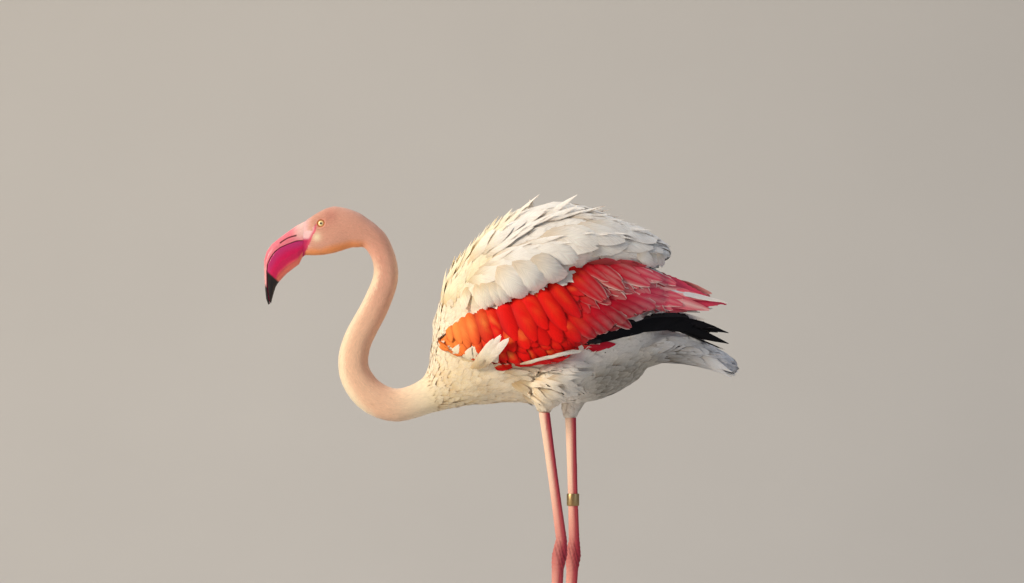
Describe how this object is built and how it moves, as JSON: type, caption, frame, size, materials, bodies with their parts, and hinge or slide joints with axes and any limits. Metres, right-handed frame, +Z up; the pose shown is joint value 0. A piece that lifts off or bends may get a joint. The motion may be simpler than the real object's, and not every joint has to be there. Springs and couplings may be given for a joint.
{
  "type": "greater flamingo",
  "caption": "Life-size adult greater flamingo standing still with its neck folded in a low bend and its bill held down, wings closed.",
  "frame": {"origin": "on the floor, under the middle of the part's box", "axes": "+Z up, -X the way the bird faces, -Y its left side"},
  "size_m": [0.6598, 0.2038, 0.8285],
  "materials": {
    "blush_feather": "short velvety head and neck feathers, pale peach pink",
    "white_feather": "soft body feathers, cream white with grey bluish shade",
    "red_feather": "wing coverts, saturated red with orange edges",
    "pink_feather": "long tertials, rose pink with pale shafts",
    "black_feather": "flight feathers, black with a faint sheen",
    "pink_horn": "upper mandible, smooth pale pink horn with a black tip",
    "magenta_horn": "lower mandible, smooth magenta horn with a black tip",
    "iris": "wet pale yellow eye with a dark pupil",
    "leg_skin": "bare pink leg skin with fine scutes",
    "claw_horn": "dark claw horn",
    "ring_metal": "satin metal identity ring, plain"
  },
  "bodies": {
    "root": {"head": "blush_feather", "neck_1": "blush_feather", "neck_2": "blush_feather", "neck_3": "blush_feather", "neck_4": "blush_feather", "neck_5": "blush_feather", "trunk": "white_feather", "mantle": "white_feather", "scapulars_left": "white_feather", "scapulars_right": "white_feather", "tail": "white_feather", "thigh_left": "white_feather", "thigh_right": "white_feather", "wing_coverts_left": "red_feather", "wing_coverts_right": "red_feather", "tertials_left": "pink_feather", "tertials_right": "pink_feather", "primaries_left": "black_feather", "primaries_right": "black_feather", "bill_upper": "pink_horn", "bill_lower": "magenta_horn", "eye_left": "iris", "eye_right": "iris", "tibia_left": "leg_skin", "hock_left": "leg_skin", "tarsus_left": "leg_skin", "foot_left": "leg_skin", "claw_left_inner": "claw_horn", "claw_left_middle": "claw_horn", "claw_left_outer": "claw_horn", "claw_left_hind": "claw_horn", "tibia_right": "leg_skin", "hock_right": "leg_skin", "tarsus_right": "leg_skin", "foot_right": "leg_skin", "claw_right_inner": "claw_horn", "claw_right_middle": "claw_horn", "claw_right_outer": "claw_horn", "claw_right_hind": "claw_horn", "leg_ring": "ring_metal"}
  },
  "joints": []
}
